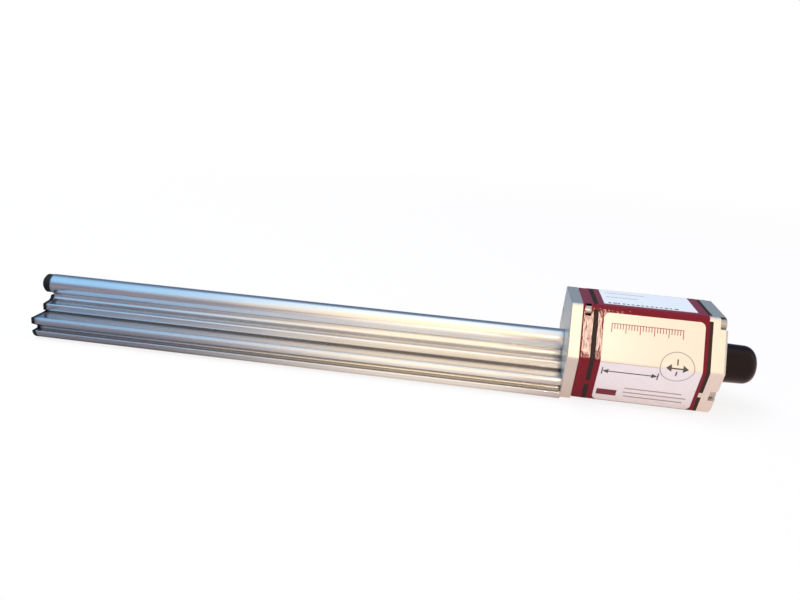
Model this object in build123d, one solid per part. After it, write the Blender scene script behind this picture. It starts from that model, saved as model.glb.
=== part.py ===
from build123d import *
import math
import os

# Profile-style magnetostrictive position sensor, lying on the flat base of its profile.
# Millimetres. +X runs along the sensing axis towards the connector, +Z is up, z = 0 is the base,
# and x = 0 is the flange face that the profile butts against.

# Extruded profile, from its base up
profile_length = 263.0
base_half_width = 15.3
foot_half_width = 19.3
foot_top_height = 4.5
foot_curve_mid = (18.25, 2.05)
groove_depth = 4.4
groove_gap = 1.2
groove_flare_below = 0.2
groove_flare_above = 2.3
shelf_thickness = 3.1
notch_depth = 2.1
notch_rise = 0.3
notch_mouth = 0.9
upper_half_width = 8.7
upper_side_height = 3.4
profile_edge_radius = 0.45
neck_half_width = 1.4
neck_blend_half_width = 4.0
neck_blend_start = 0.5
neck_blend_mid = (2.2, 1.15)
neck_blend_top = 2.6
tube_clearance = 3.7
tube_radius = 5.0
tube_bore_radius = 3.5
chamber_half_width = 4.8
chamber_floor = 1.8
chamber_roof = 1.8
chamber_corner = 0.8
port_half_spacing = 10.8
port_below_shelf = 3.4
port_radius = 1.45

# Slot for square nuts along the base
slot_mouth_width = 5.3
slot_lip = 1.7
slot_width = 8.4
slot_nut_height = 4.3

# Closures of the profile's far end
tube_cap_radius = 4.75
tube_cap_thickness = 4.4
tube_cap_chamfer = 1.1
tube_plug_length = 6.0
end_plate_thickness = 1.8
end_screw_length = 9.0
pan_head_radius = 2.4
pan_head_height = 1.4
recess_width = 0.6
recess_length = 2.6
recess_depth = 0.8

# Six-sided head: flats on top and bottom, a fold half way up each side
head_axis_height = 24.2
head_half_height = 23.0
head_half_top = 15.0
head_half_width = 25.2
head_corner_radius = 2.0
flange_thickness = 5.4
flange_edge_chamfer = 0.3
front_cap_thickness = 4.6
front_gasket_thickness = 2.2
housing_length = 48.5
housing_wall = 2.4
rear_gasket_thickness = 1.6
rear_cap_thickness = 6.7
rear_edge_chamfer = 1.1
spigot_depth = 4.0
spigot_wall = 2.2
front_cap_chamfer = 0.5

# Screws that join the caps to the housing, one in each upper corner and each lower face
corner_screw_offset = (12.6, 19.5)
lower_screw_offset = (16.4, -11.5)
channel_radius = 3.0
tab_boss_radius = 2.3
corner_tab_width = 3.4
lower_tab_width = 2.8
tab_reach = 6.0
cap_screw_length = 14.0
cap_head_radius = 2.75
cap_head_height = 3.0
cap_pocket_radius = 2.9
cap_pocket_depth = 3.6
front_pocket_lip = 0.9
cap_socket_radius = 1.45
cap_socket_depth = 1.5
flat_screw_length = 11.0
flat_head_radius = 2.2
flat_head_height = 0.9

# Screws through the flange
flange_screw_offset = (17.0, 8.9)
flange_screw_radius = 1.2
flange_screw_length = 5.8
flange_head_radius = 2.1
flange_head_height = 2.0
flange_head_sink = 2.4
flange_socket_radius = 1.0
flange_socket_depth = 1.2
profile_screw_length = 16.0
profile_head_radius = 2.8
profile_head_height = 1.5

# Labels
label_thickness = 0.15
front_label_start = 2.6
front_label_length = 44.2
front_label_top = 20.5
front_label_bottom = -22.2
front_label_corner = 2.3
top_label_start = 2.7
top_label_length = 41.6
top_label_front = -10.6
top_label_back = 13.2
top_label_corner = 0.4

# Round connector under the rubber cap
connector_drop = 2.75
shell_radius = 7.8
shell_bore_radius = 6.6
shell_length = 13.0
shell_flange_radius = 9.4
shell_flange_thickness = 1.5
shell_key_width = 1.6
shell_key_height = 0.9
connector_shoulder = 2.0
seal_thickness = 1.2
seal_width = 1.3
seal_outer_radius = 9.3
nut_thickness = 2.0
nut_bore_radius = 7.0
nut_slot_width = 2.0
insert_front = 4.0
insert_back = 8.5
pin_radius = 0.5
pin_circle_radius = 3.5
pin_standout = 5.0
pin_count = 5
pin_step_angle = 60.0
connector_board_radius = 7.5
connector_board_gap = 2.6

# Rubber dust cap
dust_cap_length = 19.3
dust_cap_gap = 0.3
dust_cap_rim_radius = 9.9
dust_cap_rim_length = 1.4
dust_cap_base_radius = 9.35
dust_cap_taper_start = 3.0
dust_cap_end_radius = 9.08
dust_cap_dome = 5.4
dust_cap_end_wall = 2.6

# Sensing element
wire_radius = 0.25
guide_radius = 1.1
guide_bore_radius = 0.4
return_radius = 0.3
return_drop = 1.9
element_tip_gap = 1.0
spacer_length = 4.0
spacer_count = 4
spacer_first = 30.0
damper_length = 12.0
bushing_inside = 6.0

# Pick-up and electronics inside the head
carrier_wall = 2.0
carrier_half_width = 12.4
carrier_rise = 8.4
carrier_tray_thickness = 1.6
carrier_tray_drop = 11.2
carrier_tray_end_gap = 2.3
standoff_height = 3.0
standoff_radius = 2.2
board_thickness = 1.6
board_side_gap = 2.3
board_start_gap = 1.0
board_end_gap = 3.3
board_screw_inset = 2.6
board_screw_radius = 0.95
board_screw_head_radius = 1.7
board_screw_head_height = 1.2
board_screw_grip = 2.4
carrier_screw_spacing = 10.2
carrier_screw_rise = 5.4
carrier_screw_radius = 1.2
carrier_screw_grip = 3.0
carrier_head_radius = 2.1
carrier_head_height = 1.5
pickup_length = 24.0
pickup_half_width = 6.5
pickup_rise = 6.2
pickup_bore_radius = 2.6
pickup_entry = 6.0
coil_length = 6.0
coil_gap = 0.8
magnet_length = 8.0
magnet_half_width = 1.5
magnet_height = 1.6
ribbon_half_width = 5.0
ribbon_thickness = 0.6
ribbon_bend = 3.0
ribbon_lap = 6.0
ribbon_rise = 5.0
chip_height = 1.3
chip_width = 3.5
chip_rows = 3
chip_first = 8.0
chip_gap = 1.5
can_radius = 1.9
can_height = 4.2
can_gap = 1.0

# Clearances
slide_fit = 0.05
thread_fit = 0.05
hole_fit = 0.15
spigot_fit = 0.15
gasket_fit = 0.1

# Heights and half-widths of the profile's corners
groove_half_width = foot_half_width - groove_depth
groove_bottom_height = foot_top_height + groove_flare_below
groove_top_height = groove_bottom_height + groove_gap
shelf_edge_bottom = groove_top_height + groove_flare_above
shelf_height = shelf_edge_bottom + shelf_thickness
notch_half_width = upper_half_width - notch_depth
notch_height = shelf_height + notch_rise
upper_bottom_height = shelf_height + notch_mouth
upper_top_height = upper_bottom_height + upper_side_height
neck_blend_height = upper_top_height + neck_blend_top
tube_axis_height = upper_top_height + tube_clearance + tube_radius
chamber_bottom = slot_lip + slot_nut_height + chamber_floor
chamber_top = upper_top_height - chamber_roof
port_height = shelf_height - port_below_shelf

# Stations along the axis, from the flange face towards the connector
flange_front = flange_thickness
front_cap_end = flange_front + front_cap_thickness
housing_start = front_cap_end + front_gasket_thickness
housing_end = housing_start + housing_length
rear_cap_start = housing_end + rear_gasket_thickness
rear_face = rear_cap_start + rear_cap_thickness
connector_height = head_axis_height - connector_drop
side_slope = (head_half_width - head_half_top) / head_half_height
side_angle = math.degrees(math.atan(side_slope))
carrier_face = front_cap_end + carrier_wall
tray_top = tube_axis_height - carrier_tray_drop + carrier_tray_thickness
board_bottom = tray_top + standoff_height
board_top = board_bottom + board_thickness
lining = (housing_wall + spigot_fit + spigot_wall) / math.cos(math.radians(side_angle))
board_level = abs(head_axis_height - board_bottom)
board_half_width = head_half_width - side_slope * board_level - lining - board_side_gap
board_start = carrier_face + board_start_gap
thread_radius = port_radius - thread_fit
clearance_radius = port_radius + hole_fit
shoulder_face = rear_face - connector_shoulder
shell_start = shoulder_face - seal_thickness - shell_flange_thickness
nut_face = shell_start - nut_thickness
connector_board_face = rear_face - insert_back - connector_board_gap - board_thickness
board_end = connector_board_face - board_end_gap
tray_end = connector_board_face - carrier_tray_end_gap


def bar(section, start, end):
    # A cross-section, drawn as (y, z), carried along X
    return extrude(Plane.YZ.offset(start) * section, amount=end - start)


def rod(radius, start, end, y, z):
    return bar(Pos(y, z) * Circle(radius), start, end)


def cone(radius_start, radius_end, start, end, y, z):
    ends = ((start, radius_start), (end, radius_end))
    return loft([Plane.YZ.offset(x) * Pos(y, z) * Circle(radius) for x, radius in ends])


def block(x0, x1, y0, y1, z0, z1):
    return Pos((x0 + x1) / 2, (y0 + y1) / 2, (z0 + z1) / 2) * Box(x1 - x0, y1 - y0, z1 - z0)


def both_sides(offset):
    # A place given as (y, height above the head's axis), on the left and on the right
    y, z = offset
    return [(side * y, head_axis_height + z) for side in (-1, 1)]


def polygon(points):
    return make_face(Polyline(*points, close=True))


def body_outline():
    # Right half of the profile below its tube, from the base up the side to the neck
    blend_start = (neck_blend_half_width, upper_top_height + neck_blend_start)
    blend_mid = (neck_blend_mid[0], upper_top_height + neck_blend_mid[1])
    blend_end = (neck_half_width, neck_blend_height)
    curve = Polyline((0, 0), (base_half_width, 0))
    curve += ThreePointArc((base_half_width, 0), foot_curve_mid, (foot_half_width, foot_top_height))
    curve += Polyline(
        (foot_half_width, foot_top_height),
        (groove_half_width, groove_bottom_height),
        (groove_half_width, groove_top_height),
        (foot_half_width, shelf_edge_bottom),
        (foot_half_width, shelf_height),
        (upper_half_width, shelf_height),
        (notch_half_width, notch_height),
        (upper_half_width, upper_bottom_height),
        (upper_half_width, upper_top_height),
        blend_start,
    )
    curve += ThreePointArc(blend_start, blend_mid, blend_end)
    curve += Polyline(blend_end, (0, neck_blend_height), (0, 0))
    half = make_face(curve.edges())
    rounded = ((foot_half_width, shelf_edge_bottom), (foot_half_width, shelf_height),
               (upper_half_width, upper_bottom_height), (upper_half_width, upper_top_height))
    corners = [v for v in half.vertices() if min(math.dist((v.X, v.Y), place) for place in rounded) < 0.01]
    half = fillet(corners, profile_edge_radius)
    return half + mirror(half, Plane.YZ)


def slot_section():
    mouth = Pos(0, slot_lip / 2) * Rectangle(slot_mouth_width, slot_lip)
    nut_space = Pos(0, slot_lip + slot_nut_height / 2) * Rectangle(slot_width, slot_nut_height)
    return mouth + nut_space


def ports(radius):
    return [Pos(side * port_half_spacing, port_height) * Circle(radius) for side in (-1, 1)]


def make_profile():
    neck_height = tube_axis_height - neck_blend_height
    section = body_outline()
    section += Pos(0, neck_blend_height + neck_height / 2) * Rectangle(2 * neck_half_width, neck_height)
    section += Pos(0, tube_axis_height) * Circle(tube_radius)
    section -= Pos(0, tube_axis_height) * Circle(tube_bore_radius)
    section -= slot_section()
    chamber_middle = (chamber_bottom + chamber_top) / 2
    chamber = RectangleRounded(2 * chamber_half_width, chamber_top - chamber_bottom, chamber_corner)
    section -= Pos(0, chamber_middle) * chamber
    for port in ports(port_radius):
        section -= port
    return bar(section, -profile_length, 0)


def make_tube_end_cap():
    end = -profile_length - tube_cap_thickness
    cap = rod(tube_cap_radius, end, -profile_length, 0, tube_axis_height)
    cap = chamfer(cap.edges().sort_by(Axis.X)[0], tube_cap_chamfer)
    plug_end = -profile_length + tube_plug_length
    return cap + rod(tube_bore_radius - slide_fit, -profile_length, plug_end, 0, tube_axis_height)


def make_end_plate():
    section = body_outline() - slot_section()
    for port in ports(clearance_radius):
        section -= port
    return bar(section, -profile_length - end_plate_thickness, -profile_length)


def cross_recess(x, y, z):
    arms = Rectangle(recess_length, recess_width) + Rectangle(recess_width, recess_length)
    return bar(Pos(y, z) * arms, x, x + recess_depth)


def make_end_plate_screws():
    seat = -profile_length - end_plate_thickness
    screws = []
    for side in (-1, 1):
        y = side * port_half_spacing
        screw = rod(pan_head_radius, seat - pan_head_height, seat, y, port_height)
        screw = chamfer(screw.edges().sort_by(Axis.X)[0], pan_head_height / 2)
        screw -= cross_recess(seat - pan_head_height, y, port_height)
        screw += rod(thread_radius, seat, seat + end_screw_length, y, port_height)
        screws.append(screw)
    return screws


def hexagon(inset=0.0, foot=0.0, corner=head_corner_radius):
    # The head's outline; foot carries the two lower sides straight on below the bottom flat
    low = head_half_height + foot
    low_half = head_half_width - side_slope * low
    points = [
        (head_half_top, head_half_height),
        (head_half_width, 0),
        (low_half, -low),
        (-low_half, -low),
        (-head_half_width, 0),
        (-head_half_top, head_half_height),
    ]
    outline = polygon(points)
    if inset:
        outline = offset(outline, -inset, kind=Kind.INTERSECTION)
    if corner:
        outline = fillet(outline.vertices(), corner)
    return Pos(0, head_axis_height) * outline


def cut_screw_pocket(cap, start, end, y, z, lip=0.0):
    # Seat for a screw head, milled open through the sloping face beside it; a lip may close its start
    tilt = side_angle if z > head_axis_height else -side_angle
    turn = tilt if y > 0 else 180 - tilt
    mouth = Pos(tab_reach / 2, 0) * Rectangle(tab_reach, 2 * cap_pocket_radius)
    cap -= rod(cap_pocket_radius, start, end, y, z)
    return cap - bar(Pos(y, z) * Rot(0, 0, turn) * mouth, start + lip, end)


def channel_places():
    return both_sides(corner_screw_offset) + both_sides(lower_screw_offset)


def housing_section(inset=0.0, channel_growth=0.0):
    # Wall of the housing with a screw channel against each fixing place
    outline = hexagon()
    wall = outline - hexagon(housing_wall + inset, corner=head_corner_radius)
    for y, z in channel_places():
        wall += outline & (Pos(y, z) * Circle(channel_radius + channel_growth))
    return wall


def tab_section(growth=0.0):
    # Lugs that reach from a cap to the housing beside its gasket
    corner = (head_half_top - corner_screw_offset[0], head_half_height - corner_screw_offset[1])
    corner_angle = math.degrees(math.atan2(corner[1], corner[0]))
    kinds = (
        (corner_screw_offset, corner_angle, corner_tab_width),
        (lower_screw_offset, -side_angle, lower_tab_width),
    )
    tabs = Sketch()
    for place, angle, width in kinds:
        for side, turn in ((1, angle), (-1, 180 - angle)):
            centre = Pos(side * place[0], head_axis_height + place[1]) * Rot(0, 0, turn)
            tabs += centre * Circle(tab_boss_radius + growth)
            tabs += centre * Pos(tab_reach / 2, 0) * Rectangle(tab_reach, width + 2 * growth)
    return hexagon() & tabs


def spigot_section():
    # Rim that locates a cap inside the housing
    rim = hexagon(housing_wall + spigot_fit) - hexagon(housing_wall + spigot_fit + spigot_wall, corner=0)
    for y, z in channel_places():
        rim -= Pos(y, z) * Circle(channel_radius + spigot_fit)
    return rim


def make_mounting_flange():
    flange = bar(hexagon(foot=head_axis_height - head_half_height), 0, flange_front)
    rims = flange.edges().filter_by_position(Axis.X, -0.01, 0.01)
    rims += flange.edges().filter_by_position(Axis.X, flange_front - 0.01, flange_front + 0.01)
    flange = chamfer(rims, flange_edge_chamfer)
    flange -= rod(tube_bore_radius, 0, flange_front, 0, tube_axis_height)
    for y, z in both_sides(flange_screw_offset):
        flange -= rod(flange_screw_radius + hole_fit, 0, flange_front, y, z)
        flange -= rod(flange_head_radius + hole_fit, 0, flange_head_sink, y, z)
    for side in (-1, 1):
        y = side * port_half_spacing
        flange -= rod(clearance_radius, 0, flange_front, y, port_height)
        sink = flange_front - profile_head_height
        flange -= cone(clearance_radius, profile_head_radius + hole_fit, sink, flange_front, y, port_height)
    return flange


def make_flange_screws():
    screws = []
    for y, z in both_sides(flange_screw_offset):
        head_face = flange_head_sink - flange_head_height
        screw = rod(flange_head_radius, head_face, flange_head_sink, y, z)
        socket = Pos(y, z) * RegularPolygon(flange_socket_radius, 6)
        screw -= bar(socket, head_face, head_face + flange_socket_depth)
        screw += rod(flange_screw_radius, flange_head_sink, flange_head_sink + flange_screw_length, y, z)
        screws.append(screw)
    return screws


def make_profile_screws():
    screws = []
    for side in (-1, 1):
        y = side * port_half_spacing
        sink = flange_front - profile_head_height
        screw = cone(thread_radius, profile_head_radius, sink, flange_front, y, port_height)
        screw += rod(thread_radius, flange_front - profile_screw_length, sink, y, port_height)
        screw -= cross_recess(flange_front - recess_depth, y, port_height)
        screws.append(screw)
    return screws


def make_front_cap():
    cap = bar(hexagon(), flange_front, front_cap_end)
    rim = cap.edges().filter_by_position(Axis.X, flange_front - 0.01, flange_front + 0.01)
    cap = chamfer(rim, front_cap_chamfer)
    cap += bar(tab_section(), front_cap_end, housing_start)
    cap += bar(spigot_section(), front_cap_end, housing_start + spigot_depth)
    cap -= rod(tube_bore_radius, flange_front, front_cap_end, 0, tube_axis_height)
    for y, z in both_sides(corner_screw_offset):
        pocket_end = flange_front + cap_pocket_depth
        cap = cut_screw_pocket(cap, flange_front, pocket_end, y, z, front_pocket_lip)
        cap -= rod(clearance_radius, flange_front, housing_start, y, z)
    for y, z in both_sides(lower_screw_offset):
        cap -= rod(clearance_radius, flange_front, housing_start, y, z)
        seat = flange_front + flat_head_height
        cap -= cone(flat_head_radius + hole_fit, clearance_radius, flange_front, seat, y, z)
    for y, z in both_sides(flange_screw_offset):
        reach = flange_head_sink + flange_screw_length + hole_fit
        cap -= rod(flange_screw_radius + thread_fit, flange_front, reach, y, z)
    for y, z in carrier_screw_places():
        hole_start = front_cap_end - carrier_screw_grip - hole_fit
        cap -= rod(carrier_screw_radius + thread_fit, hole_start, front_cap_end, y, z)
    return cap


def cap_screw(seat, direction, y, z):
    # Socket head screw; direction is +1 where its point looks towards the connector
    far = seat - direction * cap_head_height
    socket_end = far + direction * cap_socket_depth
    point = seat + direction * cap_screw_length
    screw = rod(cap_head_radius, min(seat, far), max(seat, far), y, z)
    socket = Pos(y, z) * RegularPolygon(cap_socket_radius, 6)
    screw -= bar(socket, min(far, socket_end), max(far, socket_end))
    return screw + rod(thread_radius, min(seat, point), max(seat, point), y, z)


def make_front_cap_screws():
    seat = flange_front + cap_pocket_depth
    return [cap_screw(seat, 1, y, z) for y, z in both_sides(corner_screw_offset)]


def make_front_lower_screws():
    screws = []
    seat = flange_front + flat_head_height
    for y, z in both_sides(lower_screw_offset):
        screw = cone(flat_head_radius, thread_radius, flange_front, seat, y, z)
        screws.append(screw + rod(thread_radius, seat, seat + flat_screw_length, y, z))
    return screws


def make_gasket(start, end):
    return bar(housing_section() - tab_section(gasket_fit), start, end)


def make_housing():
    section = housing_section()
    for y, z in channel_places():
        section -= Pos(y, z) * Circle(port_radius)
    return bar(section, housing_start, housing_end)


def make_rear_cap():
    cap = bar(hexagon(), rear_cap_start, rear_face)
    rim = cap.edges().filter_by_position(Axis.X, rear_face - 0.01, rear_face + 0.01)
    cap = chamfer(rim, rear_edge_chamfer)
    cap += bar(tab_section(), housing_end, rear_cap_start)
    cap += bar(spigot_section(), housing_end - spigot_depth, rear_cap_start)
    cap -= rod(shell_radius + slide_fit, rear_cap_start, rear_face, 0, connector_height)
    cap -= rod(shell_flange_radius + slide_fit, rear_cap_start, shoulder_face, 0, connector_height)
    for y, z in channel_places():
        cap = cut_screw_pocket(cap, rear_face - cap_pocket_depth, rear_face, y, z)
        cap -= rod(clearance_radius, housing_end, rear_face, y, z)
    return cap


def make_rear_cap_screws():
    seat = rear_face - cap_pocket_depth
    return [cap_screw(seat, -1, y, z) for y, z in channel_places()]


def make_front_label():
    # Film that wraps the upper and lower front faces over the fold
    start = housing_start + front_label_start
    skin = offset(hexagon(), label_thickness) - hexagon()
    film = bar(skin, start, start + front_label_length)
    height = front_label_top - front_label_bottom
    window = RectangleRounded(front_label_length, height, front_label_corner)
    middle_z = head_axis_height + (front_label_top + front_label_bottom) / 2
    centre = Pos(start + front_label_length / 2, 0, middle_z)
    cutter = extrude(centre * (Plane.XZ * window), amount=head_half_width + 1)
    return film & cutter


def make_top_label():
    start = housing_start + top_label_start
    width = top_label_back - top_label_front
    sheet = RectangleRounded(top_label_length, width, top_label_corner)
    top = head_axis_height + head_half_height
    centre = Pos(start + top_label_length / 2, (top_label_front + top_label_back) / 2, top)
    return extrude(centre * sheet, amount=label_thickness)


def make_connector_shell():
    tip = rear_face + shell_length
    shell = rod(shell_radius, shell_start, tip, 0, connector_height)
    shell = chamfer(shell.edges().sort_by(Axis.X)[-1], (shell_radius - shell_bore_radius) / 2)
    shell += rod(shell_flange_radius, shell_start, shoulder_face - seal_thickness, 0, connector_height)
    shell -= rod(shell_bore_radius, shell_start, tip, 0, connector_height)
    key_middle = connector_height + shell_bore_radius - shell_key_height / 2 + slide_fit
    key = Pos(0, key_middle) * Rectangle(shell_key_width, shell_key_height + 2 * slide_fit)
    return shell + bar(key, rear_face + insert_front, tip - shell_key_height)


def make_connector_seal():
    ring = Circle(seal_outer_radius) - Circle(seal_outer_radius - seal_width)
    return bar(Pos(0, connector_height) * ring, shoulder_face - seal_thickness, shoulder_face)


def make_connector_nut():
    nut = rod(shell_flange_radius, nut_face, shell_start, 0, connector_height)
    nut -= rod(nut_bore_radius, nut_face, shell_start, 0, connector_height)
    slots = Pos(0, connector_height) * Rectangle(3 * shell_flange_radius, nut_slot_width)
    return nut - bar(slots, nut_face, nut_face + nut_thickness / 2)


def pin_places():
    # One contact in the middle and a ring of the others, open towards the key
    places = [(0.0, connector_height)]
    for i in range(pin_count):
        angle = math.radians(270 + pin_step_angle * (i - (pin_count - 1) / 2))
        y = pin_circle_radius * math.cos(angle)
        places.append((y, connector_height + pin_circle_radius * math.sin(angle)))
    return places


def make_connector_insert():
    start = rear_face - insert_back
    end = rear_face + insert_front
    insert = rod(shell_bore_radius - slide_fit, start, end, 0, connector_height)
    insert += rod(nut_bore_radius - slide_fit, nut_face, shell_start, 0, connector_height)
    for y, z in pin_places():
        insert -= rod(pin_radius + slide_fit, start, end, y, z)
    return insert


def make_connector_pins():
    start = connector_board_face
    end = rear_face + insert_front + pin_standout
    return [rod(pin_radius, start, end, y, z) for y, z in pin_places()]


def make_connector_board():
    end = connector_board_face + board_thickness
    board = rod(connector_board_radius, connector_board_face, end, 0, connector_height)
    for y, z in pin_places():
        board -= rod(pin_radius + slide_fit, connector_board_face, end, y, z)
    return board


def make_dust_cap():
    # Turned section of the cap, drawn above the connector's axis and spun round it
    start = rear_face + dust_cap_gap
    end = start + dust_cap_length
    inner_end = end - dust_cap_end_wall
    inner = shell_radius + 5 * slide_fit
    half = math.sqrt(0.5)
    dome_centre = (end - dust_cap_dome, dust_cap_end_radius - dust_cap_dome)
    dome_mid = (dome_centre[0] + dust_cap_dome * half, dome_centre[1] + dust_cap_dome * half)
    rim_end = start + dust_cap_rim_length
    curve = Polyline((start, inner), (start, dust_cap_rim_radius), (rim_end, dust_cap_rim_radius))
    curve += Polyline(
        (rim_end, dust_cap_rim_radius),
        (start + dust_cap_taper_start, dust_cap_base_radius),
        (end - dust_cap_dome, dust_cap_end_radius),
    )
    curve += ThreePointArc((end - dust_cap_dome, dust_cap_end_radius), dome_mid, (end, dome_centre[1]))
    curve += Polyline((end, dome_centre[1]), (end, 0), (inner_end, 0), (inner_end, inner), (start, inner))
    section = Pos(0, 0, connector_height) * (Plane.XZ * make_face(curve.edges()))
    return revolve(section, Axis((0, 0, connector_height), (1, 0, 0)))


element_tip = -profile_length + tube_plug_length + element_tip_gap
pickup_end = carrier_face + pickup_length
pickup_bore_start = carrier_face + pickup_entry
return_height = tube_axis_height - return_drop


def make_waveguide_wire():
    return rod(wire_radius, element_tip, pickup_end - coil_gap, 0, tube_axis_height)


def make_guide_tube():
    tube = rod(guide_radius, element_tip, pickup_bore_start, 0, tube_axis_height)
    return tube - rod(guide_bore_radius, element_tip, pickup_bore_start, 0, tube_axis_height)


def make_return_wire():
    return rod(return_radius, element_tip, pickup_bore_start - coil_gap, 0, return_height)


def element_sleeve(radius, start, end):
    # A round piece that carries the guide tube and the return wire
    sleeve = rod(radius, start, end, 0, tube_axis_height)
    sleeve -= rod(guide_radius + slide_fit, start, end, 0, tube_axis_height)
    return sleeve - rod(return_radius + slide_fit, start, end, 0, return_height)


def make_element_spacers():
    first = -spacer_first
    last = element_tip + damper_length + spacer_first
    step = (last - first) / (spacer_count - 1)
    starts = [first + i * step for i in range(spacer_count)]
    return [element_sleeve(tube_bore_radius - slide_fit, x, x + spacer_length) for x in starts]


def make_tip_damper():
    return element_sleeve(tube_bore_radius - slide_fit, element_tip, element_tip + damper_length)


def make_entry_bushing():
    return element_sleeve(tube_bore_radius - slide_fit, -bushing_inside, front_cap_end)


def carrier_screw_places():
    return [(side * carrier_screw_spacing, tube_axis_height + carrier_screw_rise) for side in (-1, 1)]


def standoff_places():
    xs = (board_start + board_screw_inset, board_end - board_screw_inset)
    ys = (-carrier_half_width + board_screw_inset, carrier_half_width - board_screw_inset)
    return [(x, y) for x in xs for y in ys]


def make_carrier():
    # Moulded tray with an upright wall that screws to the front cap
    low = tray_top - carrier_tray_thickness
    high = tube_axis_height + carrier_rise
    carrier = block(front_cap_end, carrier_face, -carrier_half_width, carrier_half_width, low, high)
    carrier += block(carrier_face, tray_end, -carrier_half_width, carrier_half_width, low, tray_top)
    for x, y in standoff_places():
        post = Pos(x, y, tray_top + standoff_height / 2) * Cylinder(standoff_radius, standoff_height)
        depth = board_screw_grip + hole_fit
        hole = Pos(x, y, board_bottom - depth / 2) * Cylinder(board_screw_radius + thread_fit, depth)
        carrier = carrier + post - hole
    carrier -= rod(guide_radius + slide_fit, front_cap_end, carrier_face, 0, tube_axis_height)
    carrier -= rod(return_radius + slide_fit, front_cap_end, carrier_face, 0, return_height)
    for y, z in carrier_screw_places():
        carrier -= rod(carrier_screw_radius + hole_fit, front_cap_end, carrier_face, y, z)
    return carrier


def make_carrier_screws():
    screws = []
    for y, z in carrier_screw_places():
        screw = rod(carrier_head_radius, carrier_face, carrier_face + carrier_head_height, y, z)
        screw += rod(carrier_screw_radius, front_cap_end - carrier_screw_grip, carrier_face, y, z)
        screws.append(screw)
    return screws


def make_main_board():
    board = block(board_start, board_end, -board_half_width, board_half_width, board_bottom, board_top)
    middle = (board_bottom + board_top) / 2
    for x, y in standoff_places():
        board -= Pos(x, y, middle) * Cylinder(board_screw_radius + hole_fit, board_thickness)
    return board


def make_board_screws():
    screws = []
    for x, y in standoff_places():
        head_middle = board_top + board_screw_head_height / 2
        screw = Pos(x, y, head_middle) * Cylinder(board_screw_head_radius, board_screw_head_height)
        length = board_thickness + board_screw_grip
        screws.append(screw + Pos(x, y, board_top - length / 2) * Cylinder(board_screw_radius, length))
    return screws


def make_board_components():
    # Chips in a row beside the pick-up, and two upright capacitors behind it
    pieces = []
    pitch = (pickup_length - chip_first) / chip_rows
    for side in (-1, 1):
        middle = side * (pickup_half_width + chip_gap + chip_width / 2)
        low = middle - chip_width / 2
        high = middle + chip_width / 2
        for row in range(chip_rows):
            x = board_start + chip_first + row * pitch
            pieces.append(block(x, x + pitch - chip_gap, low, high, board_top, board_top + chip_height))
        place = Pos(pickup_end + can_gap + can_radius, side * pickup_half_width, board_top + can_height / 2)
        pieces.append(place * Cylinder(can_radius, can_height))
    return pieces


def make_pickup_housing():
    high = tube_axis_height + pickup_rise
    housing = block(carrier_face, pickup_end, -pickup_half_width, pickup_half_width, board_top, high)
    housing -= rod(guide_radius + slide_fit, carrier_face, pickup_bore_start, 0, tube_axis_height)
    housing -= rod(return_radius + slide_fit, carrier_face, pickup_bore_start, 0, return_height)
    housing -= rod(pickup_bore_radius, pickup_bore_start, pickup_end, 0, tube_axis_height)
    pocket = magnet_half_width + slide_fit
    start = pickup_bore_start + coil_gap
    end = start + magnet_length + slide_fit
    return housing - block(start, end, -pocket, pocket, high - magnet_height, high)


def make_bias_magnet():
    high = tube_axis_height + pickup_rise
    start = pickup_bore_start + coil_gap
    half = magnet_half_width
    return block(start, start + magnet_length, -half, half, high - magnet_height, high)


def bore_piece(start, end):
    piece = rod(pickup_bore_radius - slide_fit, start, end, 0, tube_axis_height)
    return piece - rod(wire_radius + slide_fit, start, end, 0, tube_axis_height)


def make_pickup_coil():
    start = pickup_bore_start + coil_gap
    return bore_piece(start, start + coil_length)


def make_root_damper():
    start = pickup_bore_start + 2 * coil_gap + coil_length
    return bore_piece(start, pickup_end)


def make_ribbon_cable():
    # Flat cable from the main board up the face of the connector board
    outer = ribbon_bend + ribbon_thickness
    bend_x = connector_board_face - outer
    bend_z = board_top + outer
    half = ribbon_half_width
    lap = block(bend_x - ribbon_lap, bend_x, -half, half, board_top, board_top + ribbon_thickness)
    riser_x = connector_board_face - ribbon_thickness
    riser = block(riser_x, connector_board_face, -half, half, bend_z, bend_z + ribbon_rise)
    ring = Circle(outer) - Circle(ribbon_bend)
    quarter = ring & (Pos(outer / 2, -outer / 2) * Rectangle(outer, outer))
    bend = extrude(Pos(bend_x, 0, bend_z) * (Plane.XZ * quarter), amount=half, both=True)
    return lap + riser + bend


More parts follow.
